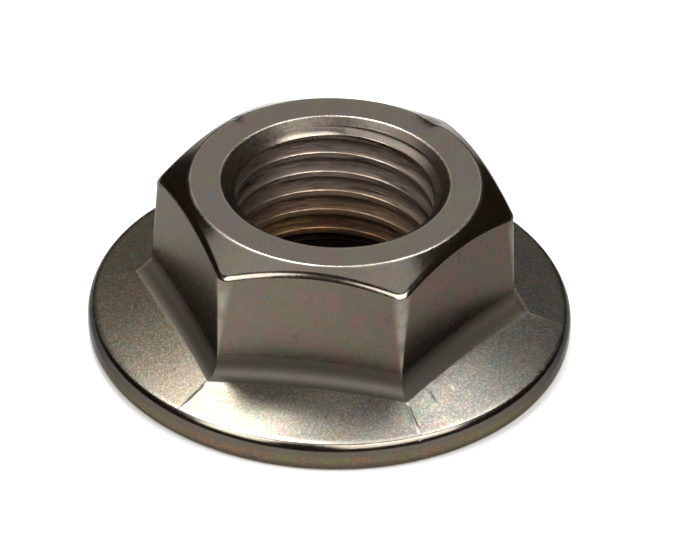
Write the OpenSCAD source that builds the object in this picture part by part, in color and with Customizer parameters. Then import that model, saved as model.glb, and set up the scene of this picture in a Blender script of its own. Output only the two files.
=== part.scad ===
// Serrated hexagon flange nut, forged in one piece.
// The origin is the centre of the bearing face, and +Z runs up the thread's axis.
// All lengths are in millimetres and all angles in degrees.

/* [Hexagon] */
// Width across the flats, which is the wrench size
across_flats = 17; // [15:0.5:19]
// Height from the bearing face to the top face
nut_height = 9.75; // [8.5:0.05:13]
// How far the round top face stays inside the flats
top_face_inset = 0.65; // [0.2:0.05:1]
// Fall of the chamfer around the top face
chamfer_angle = 32; // [25:1:36]
// How much the rounded corners take off the sharp hexagon at the top
corner_loss = 0.17; // [0.1:0.01:0.4]
// Length of sharp edge left on each corner between its rounding and the fillets
corner_runout = 0.3; // [0.1:0.1:1]

/* [Flange] */
// Diameter of the flange
flange_d = 26.15; // [25:0.05:30]
// Height of the rim from the bearing face to the top of its upper rounding
rim_height = 1.8; // [1.4:0.05:2.2]
// Radius of the rounding between the rim and the flange's slope
rim_upper_round = 0.35; // [0.2:0.05:0.6]
// Radius of the rounding between the rim and the bearing face
rim_lower_round = 0.7; // [0.3:0.05:0.8]
// Rise of the flange from the rim to the flats
flange_slope = 16; // [12:0.5:20]
// Radius of the fillet along the foot of each flat
foot_fillet = 0.85; // [0.5:0.05:1.5]

/* [Thread] */
// Major diameter of the thread
thread_d = 12; // [10:0.5:12]
// Pitch of the thread
thread_pitch = 1.25; // [1:0.25:1.75]
// How much the upper countersink is wider than the thread
top_sink_margin = 0.24; // [0.1:0.02:0.6]
// How much the lower countersink is wider than the thread
bottom_sink_margin = 1; // [0.5:0.1:1.2]
// Full angle of both countersinks
sink_angle = 90; // [80:5:120]

/* [Serration] */
// Number of ratchet teeth on the bearing face
tooth_count = 30; // [16:1:36]
// Depth of the gaps between the teeth at their outer end
tooth_depth = 0.35; // [0.2:0.05:0.5]
// Share of each tooth that stays flat at its tip
tooth_land = 0.2; // [0.15:0.05:0.4]
// Lean of each tooth's steep back from upright
tooth_back_lean = 10; // [5:1:20]
// Width of the smooth ring inside the teeth
inner_ring = 0.8; // [0.4:0.1:1.5]
// Width of the smooth ring outside the teeth
outer_ring = 0.25; // [0.1:0.05:0.6]

/* [Hidden] */
round_steps = 120;
steel = "#7b756d";
overcut = 1;
hair = 0.01;
sides = 6;
half_side = 180 / sides;

flat_r = across_flats / 2;
sharp_corner_r = flat_r / cos(half_side);
corner_r = sharp_corner_r - corner_loss;
top_face_r = flat_r - top_face_inset;
chamfer_foot_z = nut_height - (corner_r - top_face_r) * tan(chamfer_angle);

rim_r = flange_d / 2;
upper_round = [rim_r - rim_upper_round, rim_height - rim_upper_round];
bearing_r = rim_r - rim_lower_round;

// The flange's slope meets the upper rounding short of where the two would be tangent, and the
// turned body carries on just above the slope from there.
edge_break = 30;
shoulder_break = 15;
edge_angle = 90 - flange_slope - edge_break;
edge_r = upper_round[0] + rim_upper_round * cos(edge_angle);
edge_z = upper_round[1] + rim_upper_round * sin(edge_angle);

// Each sixth of the flange turns about a level axis square to its flat. With this radius the six
// sixths meet the round rim at one height, and the creases between them fade out towards it.
edge_fall = edge_r * (1 - cos(half_side)) * tan(flange_slope);
barrel_r = (pow(edge_r * sin(half_side), 2) - pow(edge_fall, 2)) / (2 * edge_fall);
barrel_z = edge_z - barrel_r;
barrel_half_turn = asin((rim_r * sin(half_side) + overcut) / barrel_r);
barrel_steps = 360;

// Distance of the sixth's surface from its level axis, at a distance from the nut's centre.
function slope_at(x) = barrel_r + (edge_r - x) * tan(flange_slope);

// In a section square to a flat, the fillet's centre and its ends on the flat and on the slope.
fillet_x = flat_r + foot_fillet;
fillet_y = slope_at(fillet_x) + foot_fillet / cos(flange_slope);
fillet_end_x = fillet_x - foot_fillet * sin(flange_slope);

// The corners' rounding sweeps out to the sharp corner just above the fillets' upper edge.
corner_fillet_z = barrel_z + sqrt(pow(fillet_y, 2) - pow(flat_r * tan(half_side), 2));
sweep_z = corner_fillet_z + corner_runout;
sweep_rise = chamfer_foot_z - sweep_z;
corner_sweep = (pow(sweep_rise, 2) + pow(corner_loss, 2)) / (2 * corner_loss);

thread_minor_r = (thread_d - 1.0825 * thread_pitch) / 2;
top_sink_r = (thread_d + top_sink_margin) / 2;
bottom_sink_r = (thread_d + bottom_sink_margin) / 2;

serration_in = bottom_sink_r + inner_ring;
serration_out = bearing_r - outer_ring;
gap_rise = atan(tooth_depth / serration_out);
gap_turn = 360 / tooth_count * (1 - tooth_land);
gap_back_turn = asin(tan(gap_rise) * tan(tooth_back_lean));
gap_ramp_turn = gap_turn - gap_back_turn;

// Section of the turned body, which holds the rim and the bearing face.
module turned_section() {
    shoulder_slope = flange_slope + shoulder_break;
    shoulder = upper_round + rim_upper_round * [sin(shoulder_slope), cos(shoulder_slope)];
    shoulder_top = shoulder + rim_upper_round * [-1, tan(shoulder_slope)];
    polygon([
        [0, 0],
        [bearing_r, 0],
        [bearing_r, rim_lower_round],
        [rim_r, rim_lower_round],
        [rim_r, upper_round[1]],
        upper_round,
        shoulder,
        shoulder_top,
        [shoulder_top[0], nut_height],
        [0, nut_height],
    ]);
    translate([bearing_r, rim_lower_round]) circle(rim_lower_round, $fn = round_steps);
    translate(upper_round) circle(rim_upper_round, $fn = round_steps);
}

// Section of the fillet between one flat and its sixth of the flange, as [distance from the level
// axis, distance from the nut's centre].
module fillet_section() {
    difference() {
        polygon([
            [slope_at(flat_r), flat_r],
            [slope_at(fillet_end_x), fillet_end_x],
            [fillet_y, fillet_x],
            [fillet_y, flat_r],
        ]);
        translate([fillet_y, fillet_x]) circle(foot_fillet, $fn = round_steps);
    }
}

// Section of what is cleared away outside one flat and above its sixth of the flange.
module flat_clearance_section() {
    out_x = rim_r + overcut;
    high_y = nut_height - barrel_z + overcut;
    difference() {
        polygon([
            [slope_at(flat_r), flat_r],
            [slope_at(out_x), out_x],
            [high_y, out_x],
            [high_y, flat_r],
        ]);
        fillet_section();
    }
}

module flat_clearance() {
    translate([0, 0, barrel_z])
        rotate([0, 90, 0])
            rotate_extrude(
                angle = 2 * barrel_half_turn,
                start = 180 - barrel_half_turn,
                $fn = barrel_steps
            )
                flat_clearance_section();
}

// Section of what the chamfer and the corners' rounding clear away around the hexagon.
module corner_clearance_section() {
    out_r = sharp_corner_r + overcut;
    over_z = nut_height + overcut;
    polygon([
        [corner_r, chamfer_foot_z],
        [out_r, chamfer_foot_z],
        [out_r, over_z],
        [top_face_r - overcut / tan(chamfer_angle), over_z],
    ]);
    intersection() {
        translate([corner_r + corner_sweep, chamfer_foot_z])
            circle(corner_sweep, $fn = 8 * round_steps);
        translate([corner_r, sweep_z]) square([out_r - corner_r, sweep_rise]);
    }
}

// Thread bore at the minor diameter, with a countersink at each end.
module bore() {
    sink_slope = tan(sink_angle / 2);
    top_sink_depth = (top_sink_r - thread_minor_r) / sink_slope;
    bottom_sink_depth = (bottom_sink_r - thread_minor_r) / sink_slope;
    over_r = overcut * sink_slope;
    translate([0, 0, -overcut])
        cylinder(r = thread_minor_r, h = nut_height + 2 * overcut, $fn = round_steps);
    translate([0, 0, nut_height - top_sink_depth])
        cylinder(
            r1 = thread_minor_r,
            r2 = top_sink_r + over_r,
            h = top_sink_depth + overcut,
            $fn = round_steps
        );
    translate([0, 0, -overcut])
        cylinder(
            r1 = bottom_sink_r + over_r,
            r2 = thread_minor_r,
            h = bottom_sink_depth + overcut,
            $fn = round_steps
        );
}

// One gap between two teeth: its floor line climbs outwards from the centre of the bearing face,
// a gentle ramp leaves it towards +turn and the steep back of a tooth closes it towards -turn.
module tooth_gap() {
    reach = serration_out + overcut;
    intersection() {
        rotate([0, -gap_rise, 0])
            rotate([90, 0, 90])
                linear_extrude(reach)
                    polygon([
                        [0, 0],
                        -reach * [sin(gap_back_turn), cos(gap_back_turn) * sin(gap_rise)],
                        reach * [sin(gap_ramp_turn), -cos(gap_ramp_turn) * sin(gap_rise)],
                    ]);
        translate([0, 0, -hair])
            difference() {
                cylinder(r = serration_out, h = overcut, $fn = round_steps);
                translate([0, 0, -overcut])
                    cylinder(r = serration_in, h = 3 * overcut, $fn = round_steps);
            }
    }
}

module flange_nut() {
    color(steel)
        difference() {
            rotate_extrude($fn = round_steps) turned_section();
            for (k = [0 : sides - 1])
                rotate([0, 0, k * 360 / sides]) flat_clearance();
            rotate_extrude($fn = round_steps) corner_clearance_section();
            bore();
            for (k = [0 : tooth_count - 1])
                rotate([0, 0, k * 360 / tooth_count]) tooth_gap();
        }
}

flange_nut();
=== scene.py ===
"""Serrated flange nut, forged from steel and zinc plated, on a pale table.

One piece is modelled here over the CAD solid: the nut, with the rounded edges, the tapered corners
and the small marks that forging and handling leave, and the ridge of its thread. Lengths are
worked out in millimetres and scaled to metres at the end. Angles are in radians, except in the
tables that say degrees.
"""

from math import asin, cos, pi, radians, sin, tan

import bpy
import numpy as np
from mathutils import Matrix, Vector


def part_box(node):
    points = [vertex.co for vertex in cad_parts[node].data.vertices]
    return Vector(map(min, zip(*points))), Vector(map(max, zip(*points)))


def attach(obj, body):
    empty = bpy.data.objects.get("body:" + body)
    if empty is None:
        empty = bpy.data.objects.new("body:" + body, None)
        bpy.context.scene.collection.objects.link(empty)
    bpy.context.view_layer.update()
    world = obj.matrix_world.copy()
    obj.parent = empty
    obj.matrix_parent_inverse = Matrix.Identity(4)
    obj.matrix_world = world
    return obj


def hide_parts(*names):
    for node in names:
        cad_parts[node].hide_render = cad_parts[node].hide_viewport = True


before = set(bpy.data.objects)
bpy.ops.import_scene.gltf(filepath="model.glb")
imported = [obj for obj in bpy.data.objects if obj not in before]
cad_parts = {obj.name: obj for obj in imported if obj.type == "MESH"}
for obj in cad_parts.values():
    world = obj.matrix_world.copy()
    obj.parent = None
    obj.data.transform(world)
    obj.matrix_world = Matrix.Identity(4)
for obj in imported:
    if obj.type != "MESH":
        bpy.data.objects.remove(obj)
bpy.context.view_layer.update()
MM = 0.001

# ---------------------------------------------------------------- sizes, in millimetres

LOW, HIGH = (np.array(corner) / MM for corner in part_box("flange_nut"))
HEIGHT = HIGH[2] - LOW[2]
RIM_R = (HIGH[0] - LOW[0]) / 2

# Hexagon: the flats lean outwards a little towards the flange, as a forging die leaves them, and
# stand FLAT_X from the axis at the height FLAT_X_AT.
SIDES = 6
HALF_SIDE = pi / SIDES
FLAT_X = 8.5
FLAT_X_AT = 6.375
DRAFT = radians(1.5)
CORNER_ROUND = 0.8
TOP_FACE_R = 7.84
TOP_EDGE_ROUND = 0.28
MOUTH_ROUND = 0.2

# Chamfer over the corners, which ends in a small lip that stands out from the flat.
CHAMFER = radians(32)
CHAMFER_EDGE_ROUND = 0.75
LIP_LEAN = radians(27)
LIP_OUT = 0.03
LIP_STEP = 0.03

# Flange: each sixth turns about a level axis, so that its rim comes out level. The rim was trimmed
# a tenth of a millimetre off the nut's axis.
SLOPE = radians(15)
FOOT_FILLET = 0.85
RIM_TOP_Z = 2.06
RIM_UPPER_ROUND = 0.9
RIM_LOWER_ROUND = 0.7
RIM_SHIFT = np.array((-0.095, 0.04))
EDGE_BREAK = radians(30)
EDGE_SOFTNESS = 0.12

# A fine worn ridge runs along the crease between two slopes. Behind, it has only a share of its
# height.
CREASE_RIDGE = 0.035
CREASE_WIDTH = 0.06
CREASE_SHARE_BEHIND = 0.2

UPPER_ROUND = np.array((RIM_R - RIM_UPPER_ROUND, RIM_TOP_Z - RIM_UPPER_ROUND))
EDGE_ANGLE = pi / 2 - SLOPE - EDGE_BREAK
EDGE_R = UPPER_ROUND[0] + RIM_UPPER_ROUND * cos(EDGE_ANGLE)
EDGE_Z = UPPER_ROUND[1] + RIM_UPPER_ROUND * sin(EDGE_ANGLE)
EDGE_FALL = EDGE_R * (1 - cos(HALF_SIDE)) * tan(SLOPE)
BARREL_R = ((EDGE_R * sin(HALF_SIDE)) ** 2 - EDGE_FALL**2) / (2 * EDGE_FALL)
BARREL_Z = EDGE_Z - BARREL_R
BEARING_R = RIM_R - RIM_LOWER_ROUND

# Thread M12 x 1.25, right-handed. Its grooves run a little deeper than the nominal diameter, and
# the ridge's root is sunk in the bore's wall by THREAD_SUNK. A point beside each end of the upper
# rounding keeps the crest and the flank flat.
MAJOR_R = 6.0
PITCH = 1.25
MINOR_R = MAJOR_R - 0.54127 * PITCH
ROOT_R = MAJOR_R + 0.03
FLANK = radians(30)
CREST_ROUND = 0.11
BESIDE_ON_CREST, BESIDE_ON_FLANK = 0.02, 0.03
THREAD_START = 1.23
THREAD_FOOT_Z = 2.25
THREAD_SUNK = 0.03
THREAD_STEPS = 180

# Countersinks: the upper one leans TOP_SINK_LEAN at its mouth and TOP_SINK_DROP more at its foot.
TOP_SINK_R = 6.12
TOP_SINK_LEAN = radians(39)
TOP_SINK_DROP = radians(36)
TOP_SINK_LENGTH = 1.3
SINK_RING_R = 5.7
BOTTOM_SINK_R = 6.5

# Ratchet teeth on the bearing face.
TEETH = 30
TOOTH_DEPTH = 0.35
TOOTH_LAND = 0.2
TOOTH_WALL = 0.004
BACK_LEAN = radians(10)
TEETH_IN = BOTTOM_SINK_R + 0.8
TEETH_OUT = BEARING_R - 0.25

# Points round the nut in each ring of the section, and the sharpest edge that is shaded smooth.
COLUMNS = 900
SMOOTH_UNDER = radians(24)


# ---------------------------------------------------------------- finish

# How much each stretch of the section has of the coarse forged skin, of wear and painted highlight
# on edges, of the lines that a cutting tool leaves, of a brown tone that is a painted reflection of
# a warm floor and painted shade, of dullness, which is gloss below 0, of dark scale and painted
# shade in the corner at the foot and on the rim, and of the passivation's film, which is straw
# below
# 0 and blue above it; on the rim its straw is a painted reflection of the warm floor too.
FINISH = {
    "grain": {
        "top sink": 0.1, "mouth": 0.1, "top face": 0.1, "top edge": 0.1, "chamfer": 0.25,
        "chamfer edge": 0.35, "flat": 0.12, "fillet": 0.2, "slope": 1.0, "rim edge": 0.4,
        "upper round": 0.1, "rim": 0.25, "lower round": 0.4, "outer ring": 0.3, "teeth": 0.3,
        "inner ring": 0.3, "bottom sink": 0.2,
    },
    "wear_and_highlight": {"mouth": 0.5, "top edge": 0.45, "rim edge": 0.3},
    "cut": {"bore": 1.0, "bottom sink": 1.0, "top sink": 0.35, "mouth": 0.2},
    # This brown is a painted reflection of a warm floor, and painted shade on the chamfer edge and
    # fillet.
    "brown_reflection_and_shade": {
        "chamfer edge": 0.3, "fillet": 0.6, "upper round": 0.4, "rim": 1.0, "lower round": 1.0,
    },
    "dull": {
        "chamfer": -0.35, "chamfer edge": -0.35, "upper round": -0.35, "fillet": 1.3,
        "slope": 0.28,
    },
    # The dark scale is partly painted shade.
    "scale_and_shade": {"chamfer edge": 0.3, "fillet": 1.15, "upper round": 0.9},
    # On the rim and its rounds the straw film is a painted reflection of a warm floor.
    "film_and_reflection": {"rim": -0.9, "upper round": -0.5, "lower round": -0.9},
}

# The finish also changes round the nut. CAMERA_SIDE is the side that the camera looks at; the
# painted highlight on the creases and the painted shade on the flats, fillets and rim are laid out
# from it. Right is as seen from there, beside is left and right alike, and behind is the other half
# of the nut.
CAMERA_SIDE = radians(-113)

# The hexagon's corners are rubbed over a share of their rounding, and the creases carry a painted
# highlight over a width, strong in front and faint behind.
CORNER_RUB = 0.38
CORNER_RUB_SHARE = 0.55
CORNER_RUB_REACH = 1.5
CORNER_RUB_LEAST = 0.02
CREASE_HIGHLIGHT_BEHIND, CREASE_HIGHLIGHT_FRONT = 0.08, 1.2
CREASE_HIGHLIGHT_WIDTH = 0.07

# Painted shade on the flats, more in front and on the right, and a brown tone on them that is a
# painted reflection of a warm floor, browner on the right as painted shade. Dark scale and painted
# shade in the fillets, at the foot of the slopes and on the rim's left and right. The fillets keep
# all of it over most of the front half.
FLAT_SHADE_FRONT, FLAT_SHADE_RIGHT = 0.3, 0.85
FLAT_BROWN_REFLECTION, FLAT_BROWN_SHADE_RIGHT = 0.75, 0.35
FILLET_FRONT_GAIN = 1.5
FILLET_SHADE_BEHIND = 0.35
RIM_SHADE_BESIDE = 1.2
SLOPE_FOOT = 0.05

# The film turns from straw to blue a little off the side that the camera looks at, and the slope
# has one dull patch there.
FILM_TURN = radians(25)
DULL_PATCH = 0.9
DULL_PATCH_AT = radians(-108)
DULL_PATCH_WIDTH = radians(13)

# The thread starts with the countersink's finish and has its own a quarter of a millimetre on.
THREAD_GRAIN = 0.15
CUT_DEPTHS, CUT_AMOUNTS = (0.85, 1.13), (0.3, 1.0)

# Handling marks: azimuth in degrees, distance from the axis, height, reach and depth. The ones
# without a depth are only rubbed bright.
MARKS = [
    (25.3, 7.9, 9.72, 0.33, 0.09),
    (28.8, 7.9, 9.72, 0.33, 0.09),
    (32.0, 7.95, 9.68, 0.25, 0.06),
    (110.5, 7.9, 9.72, 0.30, 0.07),
    (-90.8, 12.95, 1.68, 0.15, 0.05),
    (-81.3, 10.2, 2.5, 0.10, 0.04),
    (-81.1, 10.5, 2.42, 0.12, 0.05),
    (-80.9, 10.9, 2.3, 0.10, 0.04),
    (-150.0, 11.2, 2.2, 0.12, 0.04),
    (12.0, 11.6, 2.1, 0.12, 0.04),
    (-78.0, 9.55, 2.85, 0.08, 0),
    (-74.5, 10.6, 2.4, 0.07, 0),
    (-166.0, 11.3, 2.2, 0.08, 0),
    (-140.5, 10.4, 2.45, 0.07, 0),
    (-97.0, 9.4, 2.9, 0.07, 0),
    (40.0, 7.1, 9.75, 0.08, 0),
]


# ---------------------------------------------------------------- the form, section by section

def from_middle(azimuth):
    """The angle from the middle of the nearest flat."""
    return (azimuth + HALF_SIDE) % (2 * HALF_SIDE) - HALF_SIDE


def from_corner(r, azimuth):
    """How far a point lies to one side of the plane through the axis and the nearest corner."""
    return r * np.sin(HALF_SIDE - np.abs(from_middle(azimuth)))


def front(azimuth):
    """1 on the side that the camera looks at, falling to 0 a quarter of a turn to either side of
    it.
    """
    return np.clip(np.cos(azimuth - CAMERA_SIDE), 0, 1)


def barrel_z(y, lateral):
    """Height of a point that lies y from the level axis and to one side of the flat's middle."""
    return BARREL_Z + np.sqrt(y**2 - lateral**2)


# Across the middle of a flat, the wall is x = WALL_X - y tan(DRAFT) and the slope is
# y = SLOPE_Y - x tan(SLOPE), with y measured from the level axis. The fillet touches both.
WALL_X = FLAT_X + (FLAT_X_AT - BARREL_Z) * tan(DRAFT)
SLOPE_Y = BARREL_R + EDGE_R * tan(SLOPE)
_WALL = WALL_X * cos(DRAFT) + FOOT_FILLET
_SLOPE = SLOPE_Y * cos(SLOPE) + FOOT_FILLET
FILLET_X = (_WALL * cos(SLOPE) - _SLOPE * sin(DRAFT)) / cos(DRAFT + SLOPE)
FILLET_Y = (_SLOPE * cos(DRAFT) - _WALL * sin(SLOPE)) / cos(DRAFT + SLOPE)


def fillet_point(angle):
    return FILLET_X - FOOT_FILLET * np.cos(angle), FILLET_Y - FOOT_FILLET * np.sin(angle)


FOOT_X, FOOT_Y = fillet_point(DRAFT)
CORNER_FOOT_Z = float(barrel_z(FOOT_Y, FOOT_X * tan(HALF_SIDE)))
CORNER_HEAD_Z = HEIGHT - 1.1


def up_corner(z):
    """How far up the hexagon's corners a height is: 0 at their foot and 1 at their head."""
    return (z - CORNER_FOOT_Z) / (CORNER_HEAD_Z - CORNER_FOOT_Z)


def rounded_hexagon(x, turn, corner_round):
    """Distance from the axis to a hexagon with rounded corners, x from the axis to each flat."""
    middle = (x - corner_round) / cos(HALF_SIDE)
    off_corner = HALF_SIDE - np.abs(turn)
    side = np.maximum(corner_round**2 - (middle * np.sin(off_corner)) ** 2, 0)
    on_arc = x * np.tan(np.abs(turn)) > (x - corner_round) * tan(HALF_SIDE)
    return np.where(on_arc, middle * np.cos(off_corner) + np.sqrt(side), x / np.cos(turn))


def wall_r(z, turn):
    """Distance from the axis to the wall of the hexagon. Its corners are sharp at the foot and
    rounded more and more towards the top."""
    x = np.full_like(turn, FLAT_X)
    for _ in range(3):
        x = WALL_X - np.hypot(z - BARREL_Z, x * np.tan(turn)) * tan(DRAFT)
    return rounded_hexagon(x, turn, CORNER_ROUND * np.clip(up_corner(z), 0.02, 1.1))


def unit(v):
    return v / np.linalg.norm(v, axis=-1, keepdims=True)


def rounded_corner(corner, towards, onwards, radius):
    """An arc that rounds a corner between two directions, as a function of 0 to 1 along it."""
    towards, onwards = unit(towards), unit(onwards)
    half = np.arccos(np.clip((towards * onwards).sum(-1, keepdims=True), -1, 1)) / 2
    reach = radius / np.tan(half)
    centre = corner + unit(towards + onwards) * radius / np.sin(half)
    start, end = corner + towards * reach - centre, corner + onwards * reach - centre
    sweep = pi - 2 * half

    def point(s):
        return centre + (start * np.sin((1 - s) * sweep) + end * np.sin(s * sweep)) / np.sin(sweep)

    return point


def at(r, z, turn):
    """[distance from the axis, height] at each turn."""
    return np.stack(np.broadcast_arrays(r, z, turn)[:2], -1).astype(float)


def mouth(turn):
    """The rounding between the upper countersink and the top face."""
    down_sink = at(-cos(TOP_SINK_LEAN), -sin(TOP_SINK_LEAN), turn)
    return rounded_corner(at(TOP_SINK_R, HEIGHT, turn), down_sink, at(1, 0, turn), MOUTH_ROUND)


def top_edge(turn):
    """The rounding between the top face and the chamfer."""
    down_chamfer = at(cos(CHAMFER), -sin(CHAMFER), turn)
    return rounded_corner(
        at(TOP_FACE_R, HEIGHT, turn), at(-1, 0, turn), down_chamfer, TOP_EDGE_ROUND
    )


def chamfer_edge(turn):
    """The rounding between the chamfer and the wall, from which the lip leads on to the flat."""
    z = np.full_like(turn, HEIGHT - 1)
    for _ in range(8):
        z = HEIGHT - (wall_r(z, turn) - TOP_FACE_R) * tan(CHAMFER)
    reach = CHAMFER_EDGE_ROUND * tan((pi / 2 - CHAMFER - LIP_LEAN) / 2)
    back = reach * sin(LIP_LEAN) - LIP_OUT
    return rounded_corner(
        at(wall_r(z, turn) - back, z + back * tan(CHAMFER), turn),
        at(-cos(CHAMFER), sin(CHAMFER), turn),
        at(sin(LIP_LEAN), -cos(LIP_LEAN), turn),
        CHAMFER_EDGE_ROUND,
    )


def on_slope(x, turn):
    """The point of the slope that lies x from the axis, square to the flat."""
    return at(x / np.cos(turn), barrel_z(SLOPE_Y - x * tan(SLOPE), x * np.tan(turn)), turn)


def rim_edge(turn):
    """The rounding between the slope and the rim's upper round."""
    edge_x = EDGE_R * np.cos(turn)
    edge = on_slope(edge_x, turn)
    up_slope = on_slope(edge_x - 0.1, turn) - edge  # taken over the last tenth of a millimetre
    down_round = at(sin(EDGE_ANGLE), -cos(EDGE_ANGLE), turn)
    return rounded_corner(edge, up_slope, down_round, EDGE_SOFTNESS)


def sink_profile():
    """The upper countersink's wall from its mouth inwards, steeper and steeper as it goes down."""
    steps = 20
    length = TOP_SINK_LENGTH / steps
    points = [(TOP_SINK_R, HEIGHT)]
    for step in range(steps):
        lean = TOP_SINK_LEAN + TOP_SINK_DROP * max(0, 2 * step / steps - 1) ** 1.5
        r, z = points[-1]
        points.append((r - cos(lean) * length, z - sin(lean) * length))
    return points


def sink_z(r):
    wall = sink_profile()[::-1]
    return float(np.interp(r, [p[0] for p in wall], [p[1] for p in wall]))


def tooth_gap(r, azimuth):
    """Height of the gap between two ratchet teeth: a ramp that ends in a steep back."""
    pitch = 2 * pi / TEETH
    rise = TOOTH_DEPTH / TEETH_OUT
    back = asin(rise * tan(BACK_LEAN))
    ramp = pitch * (1 - TOOTH_LAND) - back
    turn = (azimuth + back) % pitch - back
    leaving = np.sin(ramp - turn) / sin(ramp)
    closing = np.sin(back + turn) / sin(back)
    return np.maximum(r * rise * np.where(turn < 0, closing, leaving), 0) * (turn < ramp)


def ring(stretch, s, azimuth):
    """Where the ring at 0 to 1 along a stretch of the section passes at each azimuth, as
    [distance from the axis, height]."""
    turn = from_middle(azimuth)
    if stretch == "mouth":
        return mouth(turn)(s)
    if stretch == "top face":
        return mouth(turn)(1) * (1 - s) + top_edge(turn)(0) * s
    if stretch == "top edge":
        return top_edge(turn)(s)
    if stretch == "chamfer":
        return top_edge(turn)(1) * (1 - s) + chamfer_edge(turn)(0) * s
    if stretch == "chamfer edge":
        return chamfer_edge(turn)(s)
    if stretch == "flat":
        head_z = chamfer_edge(turn)(1)[:, 1] - LIP_STEP
        foot_z = barrel_z(FOOT_Y, FOOT_X * np.tan(turn))
        z = head_z + (foot_z - head_z) * s
        return at(wall_r(z, turn), z, turn)
    if stretch == "fillet":
        x, y = fillet_point(DRAFT + (pi / 2 - SLOPE - DRAFT) * s)
        return at(x / np.cos(turn), barrel_z(y, x * np.tan(turn)), turn)
    if stretch == "slope":
        start_x = float(fillet_point(pi / 2 - SLOPE)[0])
        end_x = rim_edge(turn)(0)[:, 0] * np.cos(turn)
        points = on_slope(start_x + (end_x - start_x) * s, turn)
        across = from_corner(points[:, 0], azimuth) / CREASE_WIDTH
        share = CREASE_SHARE_BEHIND + (1 - CREASE_SHARE_BEHIND) * front(azimuth)
        share *= min(1, 8 * s, 5 * (1 - s))  # it runs out at both ends of the crease
        points[:, 1] += CREASE_RIDGE * np.exp(-(across**2)) * share
        return points
    if stretch == "rim edge":
        return rim_edge(turn)(s)
    if stretch == "upper round":
        angle = (EDGE_ANGLE - EDGE_SOFTNESS * tan(EDGE_BREAK / 2) / RIM_UPPER_ROUND) * (1 - s)
        return at(*(UPPER_ROUND + RIM_UPPER_ROUND * np.array((cos(angle), sin(angle)))), turn)
    if stretch == "rim":
        return at(RIM_R, UPPER_ROUND[1] + (RIM_LOWER_ROUND - UPPER_ROUND[1]) * s, turn)
    if stretch == "lower round":
        angle = -pi / 2 * s
        r, z = BEARING_R + RIM_LOWER_ROUND * cos(angle), RIM_LOWER_ROUND * (1 + sin(angle))
        return at(r, z, turn)
    if stretch == "outer ring":
        return at(BEARING_R + (TEETH_OUT - BEARING_R) * s, 0, turn)
    if stretch == "teeth":
        r = TEETH_OUT - TOOTH_WALL + (TEETH_IN - TEETH_OUT + 2 * TOOTH_WALL) * s
        return at(r, tooth_gap(r, azimuth), turn)
    if stretch == "inner ring":
        return at(TEETH_IN + (BOTTOM_SINK_R - TEETH_IN) * s, 0, turn)
    if stretch == "bottom sink":
        r = BOTTOM_SINK_R + (ROOT_R - BOTTOM_SINK_R) * s
        return at(r, BOTTOM_SINK_R - r, turn)
    if stretch == "bore":
        low, high = BOTTOM_SINK_R - ROOT_R, sink_z(SINK_RING_R) - (ROOT_R - SINK_RING_R)
        return at(ROOT_R, low + (high - low) * s, turn)
    if stretch == "top sink":
        r = SINK_RING_R + (float(mouth(turn)(0)[0, 0]) - SINK_RING_R) * s
        return at(r, sink_z(r), turn)
    raise ValueError(stretch)


def rim_pull(stretch, s):
    """How far a ring follows the rim, which was trimmed off the nut's axis."""
    if stretch == "slope":
        return s * s
    if stretch == "teeth":
        return 1 - s
    return int(stretch in ("rim edge", "upper round", "rim", "lower round", "outer ring"))


def ring_finish(stretch, s, r, z, azimuth):
    """How much of each finish a ring has at each azimuth."""
    finish = {name: np.full_like(r, amounts.get(stretch, 0)) for name, amounts in FINISH.items()}
    rightward = np.sin(azimuth - CAMERA_SIDE)
    near_front = np.minimum(FILLET_FRONT_GAIN * front(azimuth), 1)
    off_corner = from_corner(r, azimuth)
    if stretch in ("flat", "chamfer edge"):
        width = np.maximum(CORNER_ROUND * CORNER_RUB_SHARE * up_corner(z), CORNER_RUB_LEAST)
        finish["wear_and_highlight"] += CORNER_RUB * np.clip(CORNER_RUB_REACH - off_corner / width, 0, 1)
    # Painted shade on the flats, more in front and on the right, and a painted brown reflection of
    # a warm floor, browner on the right as painted shade.
    if stretch == "flat":
        finish["scale_and_shade"] += FLAT_SHADE_RIGHT * np.clip(rightward, 0, 1)
        finish["scale_and_shade"] += FLAT_SHADE_FRONT * front(azimuth)
        finish["brown_reflection_and_shade"] = np.clip(FLAT_BROWN_REFLECTION + FLAT_BROWN_SHADE_RIGHT * rightward, 0, 1)
    # Dark scale and painted shade in the fillets, full over most of the front half and fainter
    # behind.
    if stretch == "fillet":
        finish["scale_and_shade"] *= FILLET_SHADE_BEHIND + (1 - FILLET_SHADE_BEHIND) * near_front
    # Painted shade on the rim's left and right.
    if stretch in ("rim edge", "upper round", "rim"):
        finish["scale_and_shade"] += RIM_SHADE_BESIDE * rightward**6
    if stretch == "slope":
        finish["film_and_reflection"] = np.sin(azimuth - CAMERA_SIDE + FILM_TURN)
        # Painted shade at the foot of the slopes behind, which is duller there too.
        if s < SLOPE_FOOT:
            finish["scale_and_shade"] += FILLET_SHADE_BEHIND * FINISH["scale_and_shade"]["fillet"] * (1 - near_front)
            finish["dull"] += 1 - near_front
        from_patch = (azimuth - DULL_PATCH_AT) / DULL_PATCH_WIDTH
        finish["dull"] += DULL_PATCH * np.exp(-(from_patch**2))
        # A painted highlight along the creases, strong in front and faint behind.
        rubbed_and_highlit = CREASE_HIGHLIGHT_BEHIND + CREASE_HIGHLIGHT_FRONT * front(azimuth)
        finish["wear_and_highlight"] += rubbed_and_highlit * np.exp(-((off_corner / CREASE_HIGHLIGHT_WIDTH) ** 2))
    return finish


def even(count, first=True, last=True):
    """Evenly spaced places from 0 to 1, with or without the first and the last."""
    places = np.linspace(0, 1, count)
    return list(places[0 if first else 1 : None if last else -1])


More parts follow.
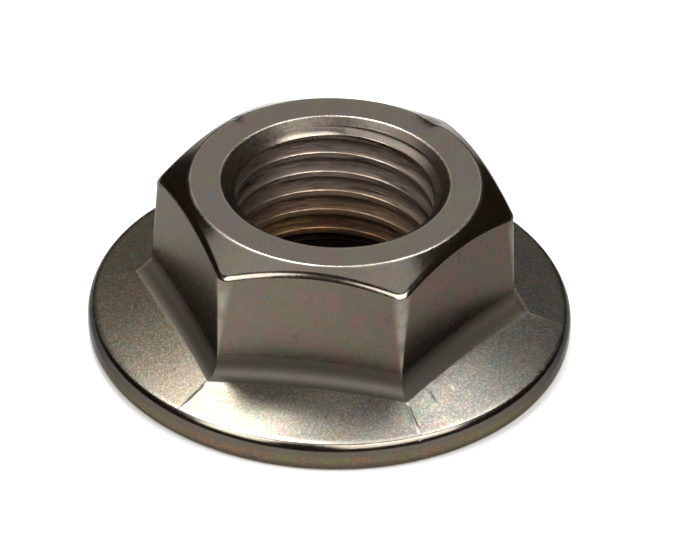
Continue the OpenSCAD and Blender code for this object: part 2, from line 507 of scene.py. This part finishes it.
# The section, from the mouth of the countersink outwards, down and back up the bore: the name of
# each stretch and the places on it, 0 at its start and 1 at its end, where a ring passes.
SECTION = [
    ("mouth", even(4)),
    ("top face", [0.03, 0.35, 0.65, 0.97]),
    ("top edge", even(5)),
    ("chamfer", [0.04, 0.35, 0.65, 0.95]),
    ("chamfer edge", even(8)),
    ("flat", even(11, last=False)),
    ("fillet", even(9)),
    ("slope", [0.03, *even(13, first=False, last=False)]),
    ("rim edge", even(4)),
    ("upper round", even(8, first=False)),
    ("rim", even(4, first=False, last=False)),
    ("lower round", even(6)),
    ("outer ring", [1.0]),
    ("teeth", even(6)),
    ("inner ring", [0.0, 1.0]),
    ("bottom sink", [0.5]),
    ("bore", [0.0, 0.5, 1.0]),
    ("top sink", [*even(4, last=False), 0.95]),
]
RINGS = [(stretch, s) for stretch, places in SECTION for s in places]


# ---------------------------------------------------------------- modelling

def start_from(primitive, name, **settings):
    """Adds a primitive with nothing else selected, and names it."""
    bpy.ops.object.select_all(action="DESELECT")
    primitive(**settings)
    piece = bpy.context.object
    piece.name = piece.data.name = name
    return piece


def place_outline(piece, outline):
    """Puts a circle's points on an outline of [distance from the axis, height]."""
    for vertex, (r, z) in zip(piece.data.vertices, outline, strict=True):
        vertex.co = (r, 0, z)


def wind(piece, rise, turns, steps, close):
    """Winds an outline round the axis, with a rise for each turn, and keeps the result."""
    winding = piece.modifiers.new("winding", "SCREW")
    winding.angle = 2 * pi
    winding.screw_offset = rise
    winding.iterations = turns
    winding.steps = winding.render_steps = steps
    winding.use_merge_vertices = close
    winding.merge_threshold = 1e-5
    bpy.ops.object.modifier_apply(modifier=winding.name)


def turned(name, outline, steps):
    """Turns a closed outline of [distance from the axis, height] right round the axis."""
    piece = start_from(bpy.ops.mesh.primitive_circle_add, name, vertices=len(outline))
    place_outline(piece, outline)
    wind(piece, 0, 1, steps, close=True)
    bpy.ops.object.mode_set(mode="EDIT")
    bpy.ops.mesh.select_all(action="SELECT")
    bpy.ops.mesh.normals_make_consistent(inside=False)
    bpy.ops.object.mode_set(mode="OBJECT")
    return piece


def coordinates(piece):
    points = np.empty(len(piece.data.vertices) * 3)
    piece.data.vertices.foreach_get("co", points)
    return points.reshape(-1, 3)


def record_finish(piece, finish):
    """Keeps the finish on a piece's points, where the material reads it."""
    for name, amounts in finish.items():
        layer = piece.data.attributes.new(name, "FLOAT", "POINT")
        layer.data.foreach_set("value", amounts)


def leave_marks(points, wear_and_highlight):
    """Presses the small dents into the points, and rubs the specks bright."""
    for azimuth, r, z, reach, depth in MARKS:
        mark = np.array((r * cos(radians(azimuth)), r * sin(radians(azimuth)), z))
        near = np.exp(-(((points - mark) ** 2).sum(1)) / reach**2)
        if depth:
            points[:, 2] -= depth * near
        else:
            wear_and_highlight[:] = np.maximum(wear_and_highlight, near)


def forged_body():
    """The nut without its thread: a blank turned from the section across the middle of a flat,
    of which each ring is then pressed to the hexagon, the six slopes and the teeth."""
    middle = np.zeros(1)
    blank = np.array([ring(stretch, s, middle)[0] for stretch, s in RINGS])
    body = turned("flange_nut_forged", blank, COLUMNS)
    points = coordinates(body)
    azimuth = np.arctan2(points[:, 1], points[:, 0])
    section = np.stack((np.hypot(points[:, 0], points[:, 1]), points[:, 2]), -1)
    nearest = np.argmin(np.abs(section[:, None] - blank).sum(-1), axis=1)
    finish = {name: np.zeros(len(points)) for name in FINISH}
    for index, (stretch, s) in enumerate(RINGS):
        on = nearest == index
        r, z = ring(stretch, s, azimuth[on]).T
        shift = rim_pull(stretch, s) * RIM_SHIFT
        points[on, 0] = r * np.cos(azimuth[on]) + shift[0]
        points[on, 1] = r * np.sin(azimuth[on]) + shift[1]
        points[on, 2] = z
        for name, amounts in ring_finish(stretch, s, r, z, azimuth[on]).items():
            finish[name][on] = amounts
    leave_marks(points, finish["wear_and_highlight"])
    body.data.vertices.foreach_set("co", points.ravel())
    record_finish(body, finish)
    body.data.update()
    return body


def thread_room():
    """The room inside which the thread's ridge is kept: the bore, with both sinks."""
    outer_r = ROOT_R + THREAD_SUNK + 0.1
    step = 0.01  # keeps the ring's corner off the countersink's last point
    ring_z = sink_z(SINK_RING_R)
    inner_wall = [point for point in sink_profile() if point[0] < SINK_RING_R][::-1]
    inner_r = inner_wall[0][0]
    outline = [
        (outer_r, THREAD_FOOT_Z + MINOR_R - outer_r),
        (inner_r, THREAD_FOOT_Z + MINOR_R - inner_r),
        *inner_wall,
        (SINK_RING_R, ring_z),
        (SINK_RING_R + 2 * step, ring_z - step),
        (outer_r, ring_z - step),
    ]
    return turned("thread_room", outline, THREAD_STEPS)


def thread_ridge():
    """The thread: a ridge with a narrow crest, wound up the bore and cut back by both sinks."""
    crest_half = PITCH / 8
    root_r = ROOT_R + THREAD_SUNK
    root_half = crest_half + (root_r - MINOR_R) * tan(FLANK)
    under, over = (
        rounded_corner(
            np.array((MINOR_R, side * crest_half)),
            np.array((0, -side)),
            np.array((1, side * tan(FLANK))),
            CREST_ROUND,
        )
        for side in (-1.0, 1.0)
    )
    outline = [
        (root_r, -root_half),
        *(under(s) for s in (1, 0.5, 0)),
        over(0) - (0, BESIDE_ON_CREST),
        *(over(s) for s in even(5)),
        over(1) + BESIDE_ON_FLANK * np.array((1, tan(FLANK))),
        (root_r, root_half),
    ]
    start_z = THREAD_START - PITCH
    ridge = start_from(bpy.ops.mesh.primitive_circle_add, "thread_ridge", vertices=len(outline))
    place_outline(ridge, [(r, start_z + z) for r, z in outline])
    wind(ridge, PITCH, int(HEIGHT / PITCH) + 3, THREAD_STEPS, close=False)
    bpy.ops.object.mode_set(mode="EDIT")
    bpy.ops.mesh.select_all(action="DESELECT")
    bpy.ops.mesh.select_mode(type="EDGE")
    bpy.ops.mesh.select_non_manifold(
        extend=False, use_wire=False, use_multi_face=False, use_non_contiguous=False,
        use_verts=False,
    )
    bpy.ops.mesh.edge_face_add()
    bpy.ops.mesh.select_all(action="SELECT")
    bpy.ops.mesh.normals_make_consistent(inside=False)
    bpy.ops.object.mode_set(mode="OBJECT")
    room = thread_room()
    trim = ridge.modifiers.new("trim", "BOOLEAN")
    trim.operation, trim.solver, trim.object = "INTERSECT", "EXACT", room
    bpy.context.view_layer.objects.active = ridge
    bpy.ops.object.modifier_apply(modifier=trim.name)
    bpy.data.objects.remove(room)
    depth = HEIGHT - coordinates(ridge)[:, 2]
    finish = {name: np.zeros_like(depth) for name in FINISH}
    finish["grain"] += THREAD_GRAIN
    finish["cut"] = np.interp(depth, CUT_DEPTHS, CUT_AMOUNTS)
    record_finish(ridge, finish)
    return ridge


nut = forged_body()
thread = thread_ridge()
bpy.ops.object.select_all(action="DESELECT")
thread.select_set(True)
nut.select_set(True)
bpy.context.view_layer.objects.active = nut
bpy.ops.object.join()
bpy.ops.object.shade_smooth_by_angle(angle=SMOOTH_UNDER)
nut.data.transform(Matrix.Scale(MM, 4))
nut.data.update()


# ---------------------------------------------------------------- materials

def colour(code):
    """An sRGB hex value as linear RGBA."""
    channels = [int(code[i : i + 2], 16) / 255 for i in (1, 3, 5)]
    return [c / 12.92 if c <= 0.04045 else ((c + 0.055) / 1.055) ** 2.4 for c in channels] + [1]


def add_node(tree, kind, inputs=None, **settings):
    """Adds a node with its settings. Each input that is named gets a value, or a link from a
    socket or from the first output of a node."""
    made = tree.nodes.new(kind)
    for name, value in settings.items():
        setattr(made, name, value)
    for name, source in (inputs or {}).items():
        if isinstance(source, bpy.types.Node):
            source = source.outputs[0]
        if isinstance(source, bpy.types.NodeSocket):
            tree.links.new(source, made.inputs[name])
        else:
            made.inputs[name].default_value = source
    return made


def new_material(name):
    made = bpy.data.materials.new(name)
    made.use_nodes = True
    made.node_tree.nodes.clear()
    return made, made.node_tree


def zinc_plated_steel():
    """Forged steel with a thin zinc plating and a chromate passivation: a dark warm grey that
    drifts faintly between olive, brown and blue, with a granular iridescent sparkle on the forged
    slopes, rubbed bright edges with painted highlights, a brown painted reflection of a warm floor
    on the flats and rim, painted shade in the corners, on the sides and deep in the bore, and fine
    cutting lines in the bore."""
    made, tree = new_material("zinc_plated_steel")
    finish = {
        name: add_node(tree, "ShaderNodeAttribute", attribute_name=name).outputs["Fac"]
        for name in FINISH
    }
    metres = add_node(tree, "ShaderNodeTexCoord").outputs["Object"]
    per_mm = add_node(tree, "ShaderNodeVectorMath", {0: metres, "Scale": 1 / MM},
                      operation="SCALE")
    along = add_node(tree, "ShaderNodeSeparateXYZ", {"Vector": per_mm}).outputs
    level = add_node(tree, "ShaderNodeCombineXYZ", {"X": along["X"], "Y": along["Y"]})
    from_axis = add_node(tree, "ShaderNodeVectorMath", {0: level}, operation="LENGTH")
    # Round the axis, a pattern changes only slowly, so that it is drawn out into fine rings.
    slowly = add_node(tree, "ShaderNodeMapRange", {
        "Value": along["X"], "From Min": -6, "From Max": 6, "To Max": 1.6,
    })
    round_axis = add_node(tree, "ShaderNodeCombineXYZ", {
        "X": from_axis.outputs["Value"], "Y": along["Z"], "Z": slowly,
    })

    # Each pattern has a size in millimetres, an amount of detail and the roughness of its detail.
    # The grit of the forged skin and the lines of the cutting tool are really a few hundredths of
    # a millimetre, too fine to show, so the specks, the coarse skin and the streaks are drawn at
    # 0.12.
    pattern = {
        name: add_node(tree, "ShaderNodeTexNoise", {
            "Vector": vector, "Scale": 1 / size, "Detail": detail, "Roughness": roughness,
        })
        for name, vector, size, detail, roughness in (
            ("drift", per_mm, 1.3, 3, 0.6),
            ("blotches", per_mm, 1.2, 2.5, 0.6),
            ("flecks", per_mm, 0.9, 4, 0.68),
            ("specks", per_mm, 0.12, 1, 0.5),
            ("pits", per_mm, 0.35, 1, 0.5),
            ("rubs", per_mm, 1.6, 2, 0.5),
            ("clouds", per_mm, 0.7, 3, 0.6),
            ("gloss", per_mm, 0.25, 2, 0.5),
            ("coarse", per_mm, 0.12, 2, 0.6),
            ("waves", per_mm, 1.4, 2, 0.5),
            ("streaks", round_axis, 0.12, 3, 0.6),
            ("rings", round_axis, 0.4, 4, 0.65),
        )
    }

    # A tone takes its colours in turn over the middle of a pattern's range.
    tones = {}
    for name, source, codes in (
        ("clean", "drift", ("#5f6160", "#646050", "#615d57", "#685b53", "#5c5e62")),
        ("reflected_brown", "blotches", ("#424a3d", "#544f3a", "#4f4841", "#62483d", "#444146")),
        ("flecks", "flecks", ("#3e4a55", "#50543c", "#524d47", "#61513b", "#48464d")),
        ("shallow", "rings", ("#383433", "#7b726a", "#8d7d70", "#4c4747")),
        ("shaded_deep", "rings", ("#2e211b", "#7d5f3e", "#4a3d31", "#7a4f38")),
    ):
        tones[name] = add_node(tree, "ShaderNodeValToRGB", {"Fac": pattern[source]})
        stops = tones[name].color_ramp.elements
        for index, code in enumerate(codes):
            position = 0.3 + 0.4 * index / (len(codes) - 1)
            stop = stops.new(position) if index > 1 else stops[index]
            stop.position, stop.color = position, colour(code)

    # Values taken from one range to another, and what some of them are multiplied by.
    ranged = {
        name: add_node(tree, "ShaderNodeMapRange", {
            "Value": value, "From Min": low, "From Max": high, "To Min": to_low, "To Max": to_high,
        })
        for name, value, low, high, to_low, to_high in (
            ("specks", pattern["specks"], 0.45, 0.7, 0, 0.3),
            ("pits", pattern["pits"], 0.7, 0.76, 0, 0.6),
            ("rubs", pattern["rubs"], 0.38, 0.6, 0.3, 1),
            ("clouds", pattern["clouds"], 0.38, 0.6, 0.2, 1.5),
            ("gloss", pattern["gloss"], 0.3, 0.7, 0.22, 0.28),
            # Depths down the bore for its painted shade and the painted shadow at its foot.
            ("bore shade", along["Z"], HEIGHT - 3, HEIGHT - 6.5, 0, 1),
            ("bore shadow", along["Z"], HEIGHT - 6.5, HEIGHT - 8, 0, 1),
            ("blue", finish["film_and_reflection"], 0, 1, 0, 1),
            ("straw", finish["film_and_reflection"], 0, -1, 0, 1),
            ("flecked", finish["grain"], 0, 1, 0, 0.6),
            ("scale_and_shade_amount", finish["scale_and_shade"], 0, 1.8, 0, 1),
            ("cut", finish["cut"], 0, 1, 0, 0.85),
            ("metal", finish["grain"], 0.4, 1, 1, 0.9),
        )
    }
    amount = {
        name: add_node(tree, "ShaderNodeMath", {0: first, 1: second}, operation="MULTIPLY")
        for name, first, second in (
            ("specks", ranged["specks"], finish["grain"]),
            ("pits", ranged["pits"], finish["grain"]),
            ("rubbed_and_highlit", ranged["rubs"], finish["wear_and_highlight"]),
            ("blue", ranged["blue"], ranged["clouds"]),
            ("straw", ranged["straw"], ranged["clouds"]),
        )
    }

    # The bore's colour, browner and darker with depth as painted shade and near black at its foot
    # as a painted shadow, and then the skin's: one tone over another.
    bore = tones["shallow"]
    for factor, tone in (
        (ranged["bore shade"], tones["shaded_deep"]),
        (ranged["bore shadow"], colour("#1c1512")),
    ):
        bore = add_node(tree, "ShaderNodeMixRGB", {"Fac": factor, "Color1": bore, "Color2": tone})
    # Over the clean skin go a painted brown reflection with painted shade, the flecks, the film,
    # the specks and pits, dark scale with painted shade, wear with painted highlight, and the
    # bore's colour.
    skin = tones["clean"]
    for factor, blend, tone in (
        (finish["brown_reflection_and_shade"], "MIX", tones["reflected_brown"]),
        (ranged["flecked"], "MIX", tones["flecks"]),
        (amount["blue"], "MULTIPLY", colour("#e2ecff")),
        (amount["straw"], "MULTIPLY", colour("#fffcec")),
        (amount["specks"], "MIX", colour("#979288")),
        (amount["pits"], "MIX", colour("#3a3531")),
        (ranged["scale_and_shade_amount"], "MIX", colour("#363534")),
        (amount["rubbed_and_highlit"], "MIX", colour("#9b968d")),
        (finish["cut"], "MIX", bore),
    ):
        skin = add_node(tree, "ShaderNodeMixRGB", {"Fac": factor, "Color1": skin, "Color2": tone},
                        blend_type=blend)

    # The relief: cutting lines, the coarse forged skin and the slow waves of a forged surface.
    relief = {}
    for height, depth, strength in (
        ("streaks", 0.02, ranged["cut"]),
        ("coarse", 0.005, finish["grain"]),
        ("waves", 0.02, 0.4),
    ):
        bump = add_node(tree, "ShaderNodeBump", {
            "Height": pattern[height], "Distance": depth * MM, "Strength": strength, **relief,
        })
        relief = {"Normal": bump}
    rough = ranged["gloss"]
    for name, share in (("dull", 0.24), ("cut", 0.12)):
        rough = add_node(tree, "ShaderNodeMath", {0: finish[name], 1: share, 2: rough},
                         operation="MULTIPLY_ADD")
    shader = add_node(tree, "ShaderNodeBsdfPrincipled", {
        "Base Color": skin, "Roughness": rough, "Metallic": ranged["metal"],
        "Specular Tint": colour("#bcbcbc"), **relief,
    })
    add_node(tree, "ShaderNodeOutputMaterial", {"Surface": shader})
    return made


def pale_table():
    """A matt pale table top, which throws a soft even light back up at the steel."""
    made, tree = new_material("pale_table")
    shader = add_node(tree, "ShaderNodeBsdfPrincipled", {
        "Base Color": colour("#d3d2d0"), "Roughness": 0.8,
    })
    add_node(tree, "ShaderNodeOutputMaterial", {"Surface": shader})
    return made


nut.data.materials.clear()
nut.data.materials.append(zinc_plated_steel())
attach(nut, "root")
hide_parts("flange_nut")


# ---------------------------------------------------------------- table, camera and light

table = start_from(bpy.ops.mesh.primitive_plane_add, "table", size=3)
table.data.materials.append(pale_table())

# The camera stands a third of a metre away, 36 degrees above the table, and is rolled a little.
# It looks past the nut's foot by the two offsets, so that the nut stands in the middle of the view.
FOOT = Vector((0, 0, 0.15 * MM))
VIEW_FROM = radians(-112.77)
VIEW_HEIGHT = radians(36.2)
VIEW_DISTANCE = 352.686 * MM
VIEW_ROLL = radians(1.77)
OFFSET_RIGHT, OFFSET_UP = 0.2675 * MM, 2.7607 * MM
SENSOR, LENS = 36, 346.667


def aim(thing, place, target, roll=0.0):
    """Puts a camera or light at a place and turns it to look at a target."""
    turn = (target - place).to_track_quat("-Z", "Y").to_matrix().to_4x4()
    thing.matrix_world = Matrix.Translation(place) @ turn @ Matrix.Rotation(roll, 4, "Z")


def around(azimuth, height, distance):
    """A point at an azimuth and an angle above the table, as seen from the nut's foot."""
    return FOOT + distance * Vector(
        (cos(height) * cos(azimuth), cos(height) * sin(azimuth), sin(height))
    )


camera = bpy.data.objects.new("camera", bpy.data.cameras.new("camera"))
bpy.context.collection.objects.link(camera)
bpy.context.scene.camera = camera
camera.data.sensor_width, camera.data.lens = SENSOR, LENS
camera.data.clip_start = 0.01
stand = around(VIEW_FROM, VIEW_HEIGHT, VIEW_DISTANCE)
right = Vector((-sin(VIEW_FROM), cos(VIEW_FROM), 0))
upward = right.cross((FOOT - stand).normalized())
aim(camera, stand, FOOT + right * OFFSET_RIGHT + upward * OFFSET_UP, VIEW_ROLL)


def softbox(name, side, height, distance, width, length, brightness):
    """A rectangular light that looks at the nut's foot. Brightness 1 is that of a white surface
    that comes out white."""
    lamp = bpy.data.lights.new(name, "AREA")
    lamp.shape = "RECTANGLE"
    lamp.size, lamp.size_y = width, length
    lamp.energy = brightness * pi * width * length
    light = bpy.data.objects.new(name, lamp)
    bpy.context.collection.objects.link(light)
    aim(light, around(VIEW_FROM + radians(side), radians(height), distance), FOOT)


# Degrees to the right of the camera, degrees up, distance, width and length in metres, brightness.
softbox("back_wall", 180, 35, 0.8, 0.30, 0.30, 1.2)
softbox("back_top", 176, 67, 0.7, 0.24, 0.12, 0.7)
softbox("back_left", -157, 65, 0.6, 0.17, 0.14, 38)
softbox("back_right", 152, 62, 0.6, 0.14, 0.13, 18)
softbox("front_left", -44, 39, 0.7, 0.36, 0.37, 12)
softbox("front_right", 35, 39, 0.7, 0.62, 0.37, 11)
softbox("left_high", -106, 53, 0.7, 0.30, 0.22, 1.5)
softbox("overhead", 180, 80, 0.8, 0.90, 0.66, 1.7)

world = bpy.data.worlds.new("room")
bpy.context.scene.world = world
world.use_nodes = True
air = world.node_tree.nodes["Background"]
air.inputs["Color"].default_value = colour("#ffdcc0")
air.inputs["Strength"].default_value = 0.07

bpy.context.scene.view_settings.view_transform = "Standard"
